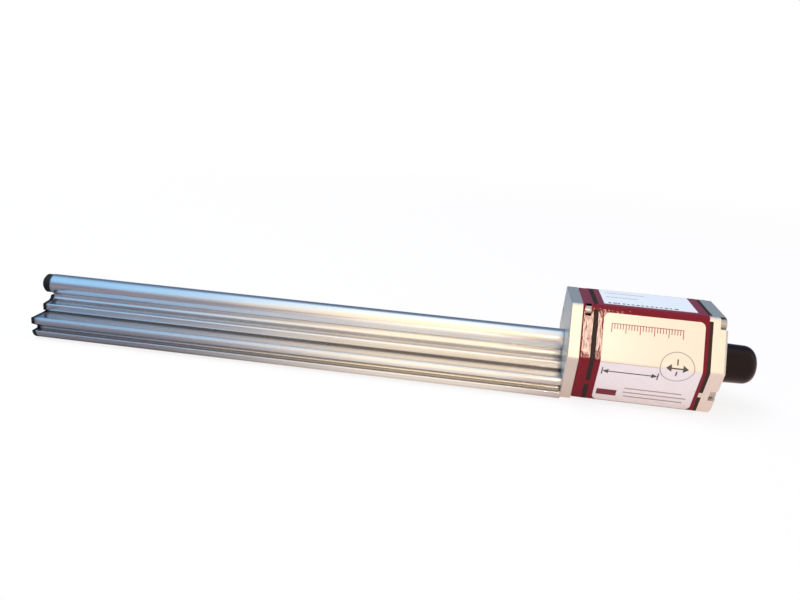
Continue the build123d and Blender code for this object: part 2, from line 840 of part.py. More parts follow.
nodes = {
    "profile": make_profile(),
    "tube_end_cap": make_tube_end_cap(),
    "profile_end_plate": make_end_plate(),
    "end_plate_screws": make_end_plate_screws(),
    "mounting_flange": make_mounting_flange(),
    "flange_screws": make_flange_screws(),
    "profile_screws": make_profile_screws(),
    "front_cap": make_front_cap(),
    "front_cap_screws": make_front_cap_screws(),
    "front_lower_screws": make_front_lower_screws(),
    "front_gasket": make_gasket(front_cap_end, housing_start),
    "housing": make_housing(),
    "rear_gasket": make_gasket(housing_end, rear_cap_start),
    "rear_cap": make_rear_cap(),
    "rear_cap_screws": make_rear_cap_screws(),
    "front_label": make_front_label(),
    "top_label": make_top_label(),
    "connector_shell": make_connector_shell(),
    "connector_seal": make_connector_seal(),
    "connector_nut": make_connector_nut(),
    "connector_insert": make_connector_insert(),
    "connector_pins": make_connector_pins(),
    "connector_board": make_connector_board(),
    "dust_cap": make_dust_cap(),
    "waveguide_wire": make_waveguide_wire(),
    "guide_tube": make_guide_tube(),
    "return_wire": make_return_wire(),
    "element_spacers": make_element_spacers(),
    "tip_damper": make_tip_damper(),
    "entry_bushing": make_entry_bushing(),
    "carrier": make_carrier(),
    "carrier_screws": make_carrier_screws(),
    "main_board": make_main_board(),
    "board_screws": make_board_screws(),
    "board_components": make_board_components(),
    "pickup_housing": make_pickup_housing(),
    "pickup_coil": make_pickup_coil(),
    "bias_magnet": make_bias_magnet(),
    "root_damper": make_root_damper(),
    "ribbon_cable": make_ribbon_cable(),
}

os.makedirs("parts", exist_ok=True)
for name, shape in nodes.items():
    whole = Compound(children=shape) if isinstance(shape, list) else shape
    export_step(whole, os.path.join("parts", name + ".step"))
    print(name, round(whole.volume, 2))
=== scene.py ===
import bpy
import math
from mathutils import Matrix, Vector


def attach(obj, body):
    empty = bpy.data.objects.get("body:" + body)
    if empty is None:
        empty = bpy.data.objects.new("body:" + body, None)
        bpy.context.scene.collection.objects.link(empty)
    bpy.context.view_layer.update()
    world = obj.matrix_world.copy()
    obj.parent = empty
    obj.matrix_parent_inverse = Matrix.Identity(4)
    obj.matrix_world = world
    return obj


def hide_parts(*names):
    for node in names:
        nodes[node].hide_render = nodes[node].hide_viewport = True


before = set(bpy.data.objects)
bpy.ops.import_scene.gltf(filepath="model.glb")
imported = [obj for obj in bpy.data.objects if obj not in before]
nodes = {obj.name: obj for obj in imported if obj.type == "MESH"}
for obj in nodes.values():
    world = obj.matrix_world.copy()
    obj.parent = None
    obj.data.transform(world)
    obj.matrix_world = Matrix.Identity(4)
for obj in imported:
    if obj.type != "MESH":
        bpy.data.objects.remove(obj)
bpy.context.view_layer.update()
mm = 0.001
smoothAngle = 25         # degrees, past which an edge stays sharp
mergeDistance = 0.001    # millimetres, under which two points become one
print("frame loaded:", len(nodes), "nodes")


# Where the photograph was taken from, in millimetres, degrees and pixels
photoCamera = {
    "target": (-80.57, 0.0, 35.25),
    "distance": 362.65,
    "azimuth": 6.96,
    "elevation": 16.79,
    "roll": 4.05,
    "focalPixels": 738.0,
    "imageWidth": 800.0,
    "filmWidth": 36.0,
    "clipStart": 10.0,
}


def addCamera(values):
    azimuth = math.radians(values["azimuth"])
    elevation = math.radians(values["elevation"])
    roll = math.radians(values["roll"])
    flat = math.cos(elevation)
    back = Vector((math.sin(azimuth) * flat, -math.cos(azimuth) * flat, math.sin(elevation)))
    level = Vector((math.cos(azimuth), math.sin(azimuth), 0))
    upright = back.cross(level)
    right = level * math.cos(roll) + upright * math.sin(roll)
    up = back.cross(right)
    turn = Matrix((right, up, back)).transposed().to_4x4()
    place = (Vector(values["target"]) + back * values["distance"]) * mm
    data = bpy.data.cameras.new("photoCamera")
    data.sensor_width = values["filmWidth"]
    data.lens = values["filmWidth"] * values["focalPixels"] / values["imageWidth"]
    data.clip_start = values["clipStart"] * mm
    camera = bpy.data.objects.new("photoCamera", data)
    bpy.context.scene.collection.objects.link(camera)
    camera.matrix_world = Matrix.Translation(place) @ turn
    bpy.context.scene.camera = camera


addCamera(photoCamera)
print("camera placed")


def linearColour(hexText):
    channels = [int(hexText[i:i + 2], 16) / 255 for i in (1, 3, 5)]
    return [c / 12.92 if c <= 0.04045 else ((c + 0.055) / 1.055) ** 2.4 for c in channels] + [1.0]


def addNode(tree, kind, values=None, **settings):
    # One node; a value is a number, a hex colour or the socket of another node
    node = tree.nodes.new("ShaderNode" + kind)
    for name, value in settings.items():
        setattr(node, name, value)
    for name, value in (values or {}).items():
        if isinstance(value, bpy.types.NodeSocket):
            tree.links.new(value, node.inputs[name])
        elif isinstance(value, str):
            node.inputs[name].default_value = linearColour(value)
        else:
            node.inputs[name].default_value = value
    return node


def startMaterial(name):
    material = bpy.data.materials.new(name)
    material.use_nodes = True
    tree = material.node_tree
    tree.nodes.clear()
    place = addNode(tree, "TexCoord").outputs["Object"]
    return material, tree, place


def endMaterial(tree, values):
    shader = addNode(tree, "BsdfPrincipled", values)
    addNode(tree, "OutputMaterial", {"Surface": shader.outputs[0]})


def grainPattern(tree, place, size, detail, stretch=(1, 1, 1)):
    # Soft noise whose grain is size millimetres, drawn out along an axis where stretch is small
    laid = addNode(tree, "Mapping", {"Vector": place, "Scale": stretch}).outputs[0]
    noise = {"Vector": laid, "Scale": 1 / (size * mm), "Detail": detail}
    return addNode(tree, "TexNoise", noise).outputs[0]


def rampsAlong(tree, place, ramps):
    # Patterns that go from 0 to 1 along an axis, between two places
    axes = addNode(tree, "SeparateXYZ", {0: place})
    made = {}
    for name, (axis, start, end, shape) in ramps.items():
        values = {"Value": axes.outputs[axis], "From Min": start, "From Max": end}
        made[name] = addNode(tree, "MapRange", values, interpolation_type=shape).outputs[0]
    return made


def surfaceFrom(tree, pattern, look):
    # Colour, polish and relief, in millimetres, that follow one pattern
    colours = {0: pattern, 6: look["dark"], 7: look["light"]}
    smooth, rough = look["roughness"]
    polish = addNode(tree, "MapRange", {"Value": pattern, "To Min": smooth, "To Max": rough})
    surface = {
        "Base Color": addNode(tree, "Mix", colours, data_type="RGBA").outputs[2],
        "Roughness": polish.outputs[0],
    }
    if "depth" in look:
        relief = {"Height": pattern, "Distance": look["depth"] * mm, "Strength": 1.0}
        surface["Normal"] = addNode(tree, "Bump", relief).outputs[0]
    return surface


anodisedExtrusionLook = {
    "light": "#EAEAEC",
    "dark": "#D6D6DA",
    "toneRange": (-0.4, 1.6),
    "roughness": (0.16, 0.26),
    "metallic": 0.95,
    "detail": 2.0,
    "lineSize": 0.5,      # die lines, coarser than the real 0.1 mm so that they show
    "lineStretch": (0.004, 1, 1),
    "lineDepth": 0.002,
    "cloudSize": 9.0,     # stains of the bath, drawn out along the profile
    "cloudStretch": (0.2, 1, 1),
    # Painted shade: the darker tone that grooves and corners are pulled towards
    "corner": "#A39D99",
    "cornerReach": 8.0,
    "cornerOpenness": (0.08, 0.36),
    "edgeRounding": (1.5, 4.0),
    "ledgeWidth": (13.0, 15.0),
    "ledgeHeight": (8.5, 12.2),
    "samples": 8,
}


def ledgePattern(tree, place, look):
    # 1 on the outer half of the two lower ledges, 0 elsewhere
    axes = addNode(tree, "SeparateXYZ", {0: place})
    outward = addNode(tree, "Math", {0: axes.outputs["Y"]}, operation="ABSOLUTE").outputs[0]
    near, far = (width * mm for width in look["ledgeWidth"])
    beyond = addNode(tree, "MapRange", {"Value": outward, "From Min": near, "From Max": far})
    low, high = look["ledgeHeight"]
    band = {0: axes.outputs["Z"], 1: (low + high) / 2 * mm, 2: (high - low) / 2 * mm}
    level = addNode(tree, "Math", band, operation="COMPARE").outputs[0]
    both = addNode(tree, "Math", {0: beyond.outputs[0], 1: level}, operation="MULTIPLY")
    return both.outputs[0]


def anodisedExtrusion(look):
    # Extruded aluminium, etched and clear anodised: satin grey with fine lines the way it left the
    # die, with painted shade that darkens its grooves and corners. Its edges catch the light as if
    # slightly round, over a wider band on the lower ledges
    material, tree, place = startMaterial("anodisedExtrusion")
    lines = grainPattern(tree, place, look["lineSize"], look["detail"], look["lineStretch"])
    clouds = grainPattern(tree, place, look["cloudSize"], look["detail"], look["cloudStretch"])
    mixed = addNode(tree, "Math", {0: lines, 1: clouds}, operation="MULTIPLY").outputs[0]
    low, high = look["toneRange"]
    tone = addNode(tree, "MapRange", {"Value": mixed, "To Min": low, "To Max": high}).outputs[0]
    tones = {0: tone, 6: look["dark"], 7: look["light"]}
    bright = addNode(tree, "Mix", tones, data_type="RGBA").outputs[2]
    # Painted shade: ambient occlusion darkens the colour in grooves and corners
    reach = {"Distance": look["cornerReach"] * mm}
    openness = addNode(tree, "AmbientOcclusion", reach, samples=look["samples"]).outputs["AO"]
    shut, free = look["cornerOpenness"]
    share = addNode(tree, "MapRange", {"Value": openness, "From Min": shut, "From Max": free})
    colours = {0: share.outputs[0], 6: look["corner"], 7: bright}
    smooth, rough = look["roughness"]
    polish = addNode(tree, "MapRange", {"Value": lines, "To Min": smooth, "To Max": rough})
    small, wide = (radius * mm for radius in look["edgeRounding"])
    onLedge = ledgePattern(tree, place, look)
    rounding = addNode(tree, "MapRange", {"Value": onLedge, "To Min": small, "To Max": wide})
    edges = addNode(tree, "Bevel", {"Radius": rounding.outputs[0]}, samples=look["samples"])
    relief = {"Height": lines, "Distance": look["lineDepth"] * mm, "Strength": 1.0,
              "Normal": edges.outputs[0]}
    endMaterial(tree, {
        "Base Color": addNode(tree, "Mix", colours, data_type="RGBA").outputs[2],
        "Metallic": look["metallic"],
        "Roughness": polish.outputs[0],
        "Normal": addNode(tree, "Bump", relief).outputs[0],
    })
    return material


redLook = {
    "light": "#820A23",
    "dark": "#70061C",
    "roughness": (0.28, 0.38),
    "grainSize": 0.35,    # etched grain, coarser than the real 0.05 mm so that it shows
    "grainDetail": 4.0,
    "depth": 0.0015,
    "waveSize": 1.1,      # streaks of the seal, about a millimetre wide
    "waveDetail": 2.0,
    "waveStretch": (1, 0.25, 0.25),
    "waveDepth": 0.04,
    "coatIndex": 1.33,
    "coatRoughness": 0.05,
    "dust": 0.16,
    "dustRoughness": 0.3,
}


def redAnodised(look):
    # Dyed and sealed anodising: deep red under a thin clear gloss with upright streaks that break
    # a lamp's glare, dusty at a low angle
    material, tree, place = startMaterial("redAnodised")
    grain = grainPattern(tree, place, look["grainSize"], look["grainDetail"])
    waves = grainPattern(tree, place, look["waveSize"], look["waveDetail"], look["waveStretch"])
    streaks = {"Height": waves, "Distance": look["waveDepth"] * mm, "Strength": 1.0}
    surface = surfaceFrom(tree, grain, look)
    surface.update({
        "Specular IOR Level": 0.0,
        "Coat Weight": 1.0,
        "Coat IOR": look["coatIndex"],
        "Coat Roughness": look["coatRoughness"],
        "Coat Normal": addNode(tree, "Bump", streaks).outputs[0],
        "Sheen Weight": look["dust"],
        "Sheen Roughness": look["dustRoughness"],
    })
    endMaterial(tree, surface)
    return material


# The grain is the ripple of the adhesive under the film, one to two millimetres wide
filmLooks = {
    "polyesterFilmWithPaintedLight": {
        "light": "#F6F0F1", "dark": "#EDE7E8", "roughness": (0.20, 0.26),
        "grainSize": 1.6, "detail": 3.0, "depth": 0.004,
        # Painted light: a cream tint for the face above the fold, as if warm light falls on it
        "paintedWarmLight": "#F8E5CC", "paintedLightEdge": (24.1, 24.4)},
    "whitePolyesterFilm": {
        "light": "#FCFDFF", "dark": "#F2F4F7", "roughness": (0.20, 0.26),
        "grainSize": 1.6, "detail": 3.0, "depth": 0.004},
}


def printedFilm(name, look):
    # Printed polyester film: off white under a thin gloss that ripples a little, with a cream tint
    # over the fold as painted warm light where the look has one
    material, tree, place = startMaterial(name)
    ripple = grainPattern(tree, place, look["grainSize"], look["detail"])
    surface = surfaceFrom(tree, ripple, look)
    # Painted light: above the fold the colour turns cream, standing in for warm light
    if "paintedWarmLight" in look:
        low, high = (height * mm for height in look["paintedLightEdge"])
        above = rampsAlong(tree, place, {"above": ("Z", low, high, "LINEAR")})["above"]
        colours = {0: above, 6: surface["Base Color"], 7: look["paintedWarmLight"]}
        surface["Base Color"] = addNode(tree, "Mix", colours, data_type="RGBA").outputs[2]
    endMaterial(tree, surface)
    return material


# Grain sizes are millimetres: cutter lines, mould skins and polishing marks are near 0.1 mm in the
# real part, and are drawn coarser so that they show
plainLooks = {
    # Milled plate, bead blasted and anodised: paler than the extrusion, with faint cutter lines
    "machinedAluminium": {
        "light": "#EDE9E2", "dark": "#DCD8D1", "roughness": (0.36, 0.50), "metallic": 0.85,
        "grainSize": 0.35, "detail": 3.0, "stretch": (1, 0.08, 0.08), "depth": 0.004},
    # Die-cut seal rubber: dull brown black
    "sealRubber": {
        "light": "#35241E", "dark": "#221713", "roughness": (0.55, 0.7), "specular": 0.3,
        "grainSize": 0.6, "detail": 4.0, "depth": 0.01},
    # Dipped rubber cap: glossy warm black with a slightly uneven skin
    "capRubber": {
        "light": "#1A0609", "dark": "#100405", "roughness": (0.12, 0.2), "specular": 0.2,
        "grainSize": 1.5, "detail": 4.0, "depth": 0.006},
    # Moulded polyamide: satin black, a little blue
    "blackPolyamide": {
        "light": "#171C20", "dark": "#0D1013", "roughness": (0.4, 0.5), "specular": 0.25,
        "grainSize": 0.4, "detail": 4.0, "depth": 0.01},
    # Moulded polyamide: satin mid grey
    "greyPolyamide": {
        "light": "#6A6D70", "dark": "#55585B", "roughness": (0.45, 0.55),
        "grainSize": 0.5, "detail": 4.0, "depth": 0.01},
    # Turned stainless steel: bright with a slightly uneven polish
    "stainlessSteel": {
        "light": "#C4C2BE", "dark": "#A9A7A4", "roughness": (0.22, 0.34), "metallic": 1.0,
        "grainSize": 0.5, "detail": 3.0, "depth": 0.002},
    # Nickel plated brass: a warmer, smoother shine
    "nickelPlate": {
        "light": "#CDC8BE", "dark": "#B4AFA6", "roughness": (0.16, 0.26), "metallic": 1.0,
        "grainSize": 0.6, "detail": 3.0, "depth": 0.002},
    # Gold plated contacts: yellow and bright
    "goldPlate": {
        "light": "#E6C675", "dark": "#CFAA58", "roughness": (0.15, 0.25), "metallic": 1.0,
        "grainSize": 0.3, "detail": 3.0, "depth": 0.002},
    # Enamelled copper wire: orange brown gloss
    "enamelledCopper": {
        "light": "#B8683C", "dark": "#8E4A28", "roughness": (0.25, 0.4), "metallic": 1.0,
        "grainSize": 0.2, "detail": 3.0, "depth": 0.002},
    # Solder resist on a board: glossy green lacquer
    "solderResist": {
        "light": "#1F6B3C", "dark": "#17552F", "roughness": (0.25, 0.35),
        "grainSize": 1.0, "detail": 4.0, "depth": 0.01},
    # Cast silicone rubber: dull brick red
    "siliconeRubber": {
        "light": "#8A4636", "dark": "#733728", "roughness": (0.5, 0.6),
        "grainSize": 0.5, "detail": 4.0, "depth": 0.01},
    # Drawn PVC ribbon: pale satin grey
    "ribbonPvc": {
        "light": "#A2A4A6", "dark": "#8C8E90", "roughness": (0.4, 0.5),
        "grainSize": 0.6, "detail": 4.0, "depth": 0.01},
    # Screen printed inks: flat satin colours with a slightly uneven lay-down
    "darkInk": {
        "light": "#55534F", "dark": "#3E3C39", "roughness": (0.40, 0.50),
        "grainSize": 0.4, "detail": 2.0},
    "greyInk": {
        "light": "#A9A19C", "dark": "#938B86", "roughness": (0.40, 0.50),
        "grainSize": 0.4, "detail": 2.0},
    "redInk": {
        "light": "#B4525E", "dark": "#9C3C48", "roughness": (0.40, 0.50),
        "grainSize": 0.4, "detail": 2.0},
    "maroonInk": {
        "light": "#7E2430", "dark": "#6A1A26", "roughness": (0.40, 0.50),
        "grainSize": 0.4, "detail": 2.0},
}


def plainMaterial(name, look):
    material, tree, place = startMaterial(name)
    stretch = look.get("stretch", (1, 1, 1))
    grain = grainPattern(tree, place, look["grainSize"], look["detail"], stretch)
    surface = surfaceFrom(tree, grain, look)
    surface["Metallic"] = look.get("metallic", 0.0)
    surface["Specular IOR Level"] = look.get("specular", 0.5)
    endMaterial(tree, surface)
    return material


materials = {name: plainMaterial(name, look) for name, look in plainLooks.items()}
materials.update({name: printedFilm(name, look) for name, look in filmLooks.items()})
materials["anodisedExtrusion"] = anodisedExtrusion(anodisedExtrusionLook)
materials["redAnodised"] = redAnodised(redLook)

# The CAD nodes that each material goes on
nodesOf = {
    "anodisedExtrusion": ["profile"],
    "machinedAluminium": ["mounting_flange", "rear_cap"],
    "redAnodised": ["front_cap", "housing"],
    "polyesterFilmWithPaintedLight": ["front_label"],
    "whitePolyesterFilm": ["top_label"],
    "sealRubber": ["front_gasket", "rear_gasket", "connector_seal"],
    "capRubber": ["dust_cap"],
    "blackPolyamide": [
        "tube_end_cap", "profile_end_plate", "connector_insert", "guide_tube",
        "board_components"],
    "greyPolyamide": ["element_spacers", "entry_bushing", "carrier", "pickup_housing"],
    "stainlessSteel": [
        "end_plate_screws", "flange_screws", "profile_screws", "front_cap_screws",
        "front_lower_screws", "rear_cap_screws", "waveguide_wire", "carrier_screws",
        "board_screws", "bias_magnet"],
    "nickelPlate": ["connector_shell", "connector_nut"],
    "goldPlate": ["connector_pins"],
    "enamelledCopper": ["return_wire", "pickup_coil"],
    "solderResist": ["main_board", "connector_board"],
    "siliconeRubber": ["tip_damper", "root_damper"],
    "ribbonPvc": ["ribbon_cable"],
}


def deselectAll():
    bpy.ops.object.select_all(action="DESELECT")


def activate(piece):
    deselectAll()
    piece.select_set(True)
    bpy.context.view_layer.objects.active = piece


def giveMaterial(piece, material):
    activate(piece)
    bpy.ops.object.shade_smooth_by_angle(angle=math.radians(smoothAngle))
    piece.data.materials.clear()
    piece.data.materials.append(material)


for materialName, names in nodesOf.items():
    for name in names:
        giveMaterial(nodes[name], materials[materialName])
print("materials on the CAD nodes")


def joined(parts, name):
    # Several meshes made one, with its place in the mesh
    deselectAll()
    for part in parts:
        part.select_set(True)
    bpy.context.view_layer.objects.active = parts[0]
    if len(parts) > 1:
        bpy.ops.object.join()
    piece = bpy.context.active_object
    piece.name = name
    bpy.ops.object.transform_apply(location=True, rotation=True, scale=True)
    return piece


def applyAll(piece):
    activate(piece)
    for modifier in list(piece.modifiers):
        bpy.ops.object.modifier_apply(modifier=modifier.name)


def finishPiece(piece, material, body):
    activate(piece)
    bpy.ops.object.mode_set(mode="EDIT")
    bpy.ops.mesh.select_all(action="SELECT")
    bpy.ops.mesh.remove_doubles(threshold=mergeDistance * mm)
    bpy.ops.mesh.normals_make_consistent(inside=False)
    bpy.ops.object.mode_set(mode="OBJECT")
    giveMaterial(piece, material)
    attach(piece, body)
    deselectAll()


# The connector's shell: a flanged tube with a cut thread outside and a key inside
shellLook = {
    "axisHeight": 21.45,
    "segments": 73,       # odd, so that a face and not a corner lies at the top
    "start": 64.3,
    "tip": 82.0,
    "bore": 6.6,
    "radius": 7.8,
    "flangeThickness": 1.5,
    "flangeRadius": 9.4,
    "threadStart": 69.5,
    "threadPitch": 0.75,
    "threadTurns": 15,
    "threadDepth": 0.46,
    "chamfer": 0.6,
    "keyStart": 73.0,
    "keyEnd": 81.1,
    "keyHalfWidth": 1.0,
    "keyDepth": 0.9,
    "keyBand": (-0.3, 0.01),    # how far from the bore's radius a face at the key may lie
}


def drawRings(rings, look):
    # A skin drawn out ring by ring along X, each ring given by its place and its radius
    x, radius = rings[0]
    height = look["axisHeight"] * mm
    deselectAll()
    bpy.ops.mesh.primitive_circle_add(
        vertices=look["segments"], radius=radius * mm, location=(x * mm, 0, height),
        rotation=(0, math.radians(90), 0))
    skin = bpy.context.active_object
    bpy.ops.object.transform_apply(location=True, rotation=True, scale=True)
    bpy.ops.object.mode_set(mode="EDIT")
    bpy.ops.mesh.select_all(action="SELECT")
    for nextX, nextRadius in rings[1:]:
        growth = nextRadius / radius
        middle = (nextX * mm, 0, height)
        bpy.ops.mesh.extrude_edges_move()
        bpy.ops.transform.translate(value=((nextX - x) * mm, 0, 0))
        bpy.ops.transform.resize(value=(1, growth, growth), center_override=middle)
        x, radius = nextX, nextRadius
    bpy.ops.mesh.select_all(action="SELECT")
    bpy.ops.mesh.remove_doubles(threshold=mergeDistance * mm)
    bpy.ops.mesh.normals_make_consistent(inside=False)
    bpy.ops.mesh.select_all(action="DESELECT")
    bpy.ops.object.mode_set(mode="OBJECT")
    return skin


def shellRings(look):
    start, tip, bore, outer = look["start"], look["tip"], look["bore"], look["radius"]
    flangeEnd = start + look["flangeThickness"]
    rings = [(start, bore), (start, look["flangeRadius"])]
    rings += [(flangeEnd, look["flangeRadius"]), (flangeEnd, outer)]
    for turn in range(look["threadTurns"]):
        crest = look["threadStart"] + turn * look["threadPitch"]
        root = crest + look["threadPitch"] / 2
        rings += [(crest, outer), (root, outer - look["threadDepth"])]
    threadEnd = look["threadStart"] + look["threadTurns"] * look["threadPitch"]
    rings += [(threadEnd, outer), (tip - look["chamfer"], outer)]
    rings += [(tip, outer - look["chamfer"]), (tip, bore)]
    rings += [(look["keyEnd"], bore), (look["keyStart"], bore), (start, bore)]
    return rings


def buildConnectorShell(look):
    shell = drawRings(shellRings(look), look)
    inside, outside = (look["bore"] + reach for reach in look["keyBand"])
    for face in shell.data.polygons:
        x, y, z = face.center / mm
        atTop = inside < z - look["axisHeight"] < outside and abs(y) < look["keyHalfWidth"]
        face.select = atTop and look["keyStart"] < x < look["keyEnd"]
    activate(shell)
    bpy.ops.object.mode_set(mode="EDIT")
    bpy.ops.mesh.select_mode(type="FACE")
    bpy.ops.mesh.extrude_region_move()
    bpy.ops.transform.translate(value=(0, 0, -look["keyDepth"] * mm))
    bpy.ops.mesh.select_mode(type="VERT")
    bpy.ops.object.mode_set(mode="OBJECT")
    shell.name = "threadedShell"
    finishPiece(shell, materials["nickelPlate"], "sensor")
    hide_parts("connector_shell")


buildConnectorShell(shellLook)
print("connector shell built")


# Printing on the films: plain generic marks, laid on as thin raised ink
inkLook = {
    "thickness": 0.05,
    "lift": 0.02,
    "standOff": 32.0,
    "frontHeight": 24.2,
    "topHeight": 50.0,
    "ringSegments": 120,
    "headCuts": 5,
    "headMargin": 0.0001,    # metres; a head is drawn large and then scaled
}
facingFront = (math.radians(90), 0, 0)
facingUp = (0, 0, 0)


def frontPlace(x, z):
    # In front of the head, at a place along X and a height over the front film's fold
    return (x * mm, -inkLook["standOff"] * mm, (inkLook["frontHeight"] + z) * mm)


def addStrip(place, turn, wide, tall, cuts):
    deselectAll()
    bpy.ops.mesh.primitive_plane_add(size=1, location=place, rotation=turn)
    strip = bpy.context.active_object
    strip.scale = (wide * mm, tall * mm, 1)
    bpy.ops.object.mode_set(mode="EDIT")
    bpy.ops.mesh.subdivide(number_cuts=cuts)
    bpy.ops.object.mode_set(mode="OBJECT")
    return strip


def frontBar(x0, x1, z0, z1, cuts=1):
    place = frontPlace((x0 + x1) / 2, (z0 + z1) / 2)
    return addStrip(place, facingFront, x1 - x0, abs(z1 - z0), cuts)


def topBar(x0, x1, y0, y1):
    place = ((x0 + x1) / 2 * mm, (y0 + y1) / 2 * mm, inkLook["topHeight"] * mm)
    return addStrip(place, facingUp, x1 - x0, y1 - y0, 1)


def frontRing(x, z, radius, width, squash):
    # A circle of line, flattened in height where it will lie on sloping faces
    place = frontPlace(x, z)
    inner, outer = radius - width / 2, radius + width / 2
    deselectAll()
    bpy.ops.mesh.primitive_circle_add(
        vertices=inkLook["ringSegments"], radius=inner * mm, location=place, rotation=facingFront)
    ring = bpy.context.active_object
    growth = outer / inner
    bpy.ops.object.mode_set(mode="EDIT")
    bpy.ops.mesh.select_all(action="SELECT")
    bpy.ops.mesh.extrude_edges_move()
    bpy.ops.transform.resize(value=(growth, growth, growth), center_override=place)
    bpy.ops.object.mode_set(mode="OBJECT")
    ring.scale = (1, squash, 1)
    return ring


def arrowHead(x, z, length, height, side):
    # Solid triangle that points along X, to the right with side 1 and to the left with side -1
    place = frontPlace(x, z)
    deselectAll()
    bpy.ops.mesh.primitive_circle_add(
        vertices=3, radius=1, fill_type="NGON", location=place, rotation=facingFront)
    head = bpy.context.active_object
    bpy.ops.object.transform_apply(location=False, rotation=True, scale=False)
    bpy.ops.object.mode_set(mode="EDIT")
    bpy.ops.mesh.select_all(action="SELECT")
    bpy.ops.mesh.subdivide(number_cuts=inkLook["headCuts"])
    bpy.ops.transform.rotate(value=math.radians(90), orient_axis="Y", center_override=place)
    bpy.ops.object.mode_set(mode="OBJECT")
    along = [vertex.co.x for vertex in head.data.vertices]
    across = [vertex.co.z for vertex in head.data.vertices]
    lowest, highest = min(along), max(along)
    atPoint = [value for value in along if value > highest - inkLook["headMargin"]]
    facing = side if len(atPoint) == 1 else -side
    wide, tall = highest - lowest, max(across) - min(across)
    head.scale = (facing * length * mm / wide, 1, height * mm / tall)
    return head


def printOn(film, parts, name, ink, direction):
    # Lays flat marks on a film along one axis and gives the ink its thickness
    piece = joined(parts, name)
    wrap = piece.modifiers.new("wrap", "SHRINKWRAP")
    wrap.target = film
    wrap.wrap_method = "PROJECT"
    wrap.use_project_y = direction == "Y"
    wrap.use_project_z = direction == "Z"
    wrap.use_negative_direction = direction == "Z"
    wrap.use_positive_direction = direction == "Y"
    applyAll(piece)
    activate(piece)
    bpy.ops.object.mode_set(mode="EDIT")
    bpy.ops.mesh.select_all(action="SELECT")
    bpy.ops.mesh.normals_make_consistent(inside=False)
    lift = inkLook["lift"] * mm
    bpy.ops.transform.translate(value=(0, -lift, 0) if direction == "Y" else (0, 0, lift))
    bpy.ops.object.mode_set(mode="OBJECT")
    wall = piece.modifiers.new("wall", "SOLIDIFY")
    wall.thickness = inkLook["thickness"] * mm
    wall.offset = 0
    applyAll(piece)
    finishPiece(piece, materials[ink], "sensor")


# Places along X and heights over the fold, in millimetres
frontPrint = {
    "tickStart": 18.3,
    "tickEnd": 50.6,
    "tickPitch": 1.25,
    "tickWidth": 0.34,
    "tickTop": 16.4,
    "tickLow": 12.6,
    "tickShort": 14.1,
    "longEvery": 5,
    "tickRule": 0.25,
    "ringCentre": (48.2, 0.55),
    "ringRadius": 7.4,
    "ringWidth": 0.34,
    "ringSquash": 0.914,
    "emblemBar": 2.6,           # half the double arrow's bar
    "emblemLine": 0.3,          # half a line's width
    "emblemHead": (2.4, 3.4),   # length and height
    "emblemHeadAt": 3.3,
    "emblemMark": (1.4, 3.9),   # from where to where the upright mark runs, up and down
    "arrow": (16.4, 40.9, -4.9),
    "arrowLine": 0.5,
    "arrowHead": (2.6, 2.5),
    "arrowInset": 0.6,
    "endBar": 3.8,
    "block": (16.1, 25.1, -15.6, -18.9),
    "rules": ((28.2, 53.6, -13.8), (27.8, 56.0, -16.2), (28.6, 54.9, -18.5)),
    "ruleWidth": 0.55,
    "foldLine": (15.2, 40.4, 0.0),
    "foldWidth": 0.16,
    "emblemCuts": 7,            # cuts that let a mark follow the film over its fold
    "foldCuts": 3,
}


def scaleTicks(look):
    start, top, width = look["tickStart"], look["tickTop"], look["tickWidth"]
    ticks = []
    for i in range(int((look["tickEnd"] - start) / look["tickPitch"]) + 1):
        x = start + i * look["tickPitch"]
        low = look["tickShort"] if i % look["longEvery"] else look["tickLow"]
        ticks.append(frontBar(x, x + width, low, top))
    ticks.append(frontBar(start, x + width, top - look["tickRule"], top))
    return ticks


def emblemArrow(look):
    x, z = look["ringCentre"]
    half, cuts = look["emblemLine"], look["emblemCuts"]
    near, far = look["emblemMark"]
    length, height = look["emblemHead"]
    mark = [frontBar(x - look["emblemBar"], x + look["emblemBar"], z - half, z + half, cuts)]
    for side in (-1, 1):
        mark.append(arrowHead(x + side * look["emblemHeadAt"], z, length, height, side))
    mark.append(frontBar(x - half, x + half, z - far, z - near, cuts))
    mark.append(frontBar(x - half, x + half, z + near, z + far, cuts))
    return mark


def measuringArrow(look):
    start, end, z = look["arrow"]
    length, height = look["arrowHead"]
    half, endHalf = look["arrowLine"] / 2, look["endBar"] / 2
    arrow = [frontBar(start + length, end - length, z - half, z + half)]
    for x, side in ((start, -1), (end, 1)):
        headX = x - side * (length / 2 + look["arrowInset"])
        arrow.append(arrowHead(headX, z, length, height, side))
        arrow.append(frontBar(x - half, x + half, z - endHalf, z + endHalf))
    return arrow


def printFrontLabel(look):
    front = nodes["front_label"]
    printOn(front, scaleTicks(look), "scaleTicks", "redInk", "Y")
    x, z = look["ringCentre"]
    ring = frontRing(x, z, look["ringRadius"], look["ringWidth"], look["ringSquash"])
    printOn(front, [ring], "emblemRing", "greyInk", "Y")
    printOn(front, emblemArrow(look), "emblemArrow", "darkInk", "Y")
    printOn(front, measuringArrow(look), "measuringArrow", "darkInk", "Y")
    x0, x1, top, low = look["block"]
    printOn(front, [frontBar(x0, x1, low, top)], "maroonBlock", "maroonInk", "Y")
    half = look["ruleWidth"] / 2
    rules = [frontBar(x0, x1, z - half, z + half) for x0, x1, z in look["rules"]]
    printOn(front, rules, "fineRules", "greyInk", "Y")
    x0, x1, z = look["foldLine"]
    half = look["foldWidth"] / 2
    foldLine = frontBar(x0, x1, z - half, z + half, look["foldCuts"])
    printOn(front, [foldLine], "foldLine", "greyInk", "Y")


printFrontLabel(frontPrint)
print("front label printed")

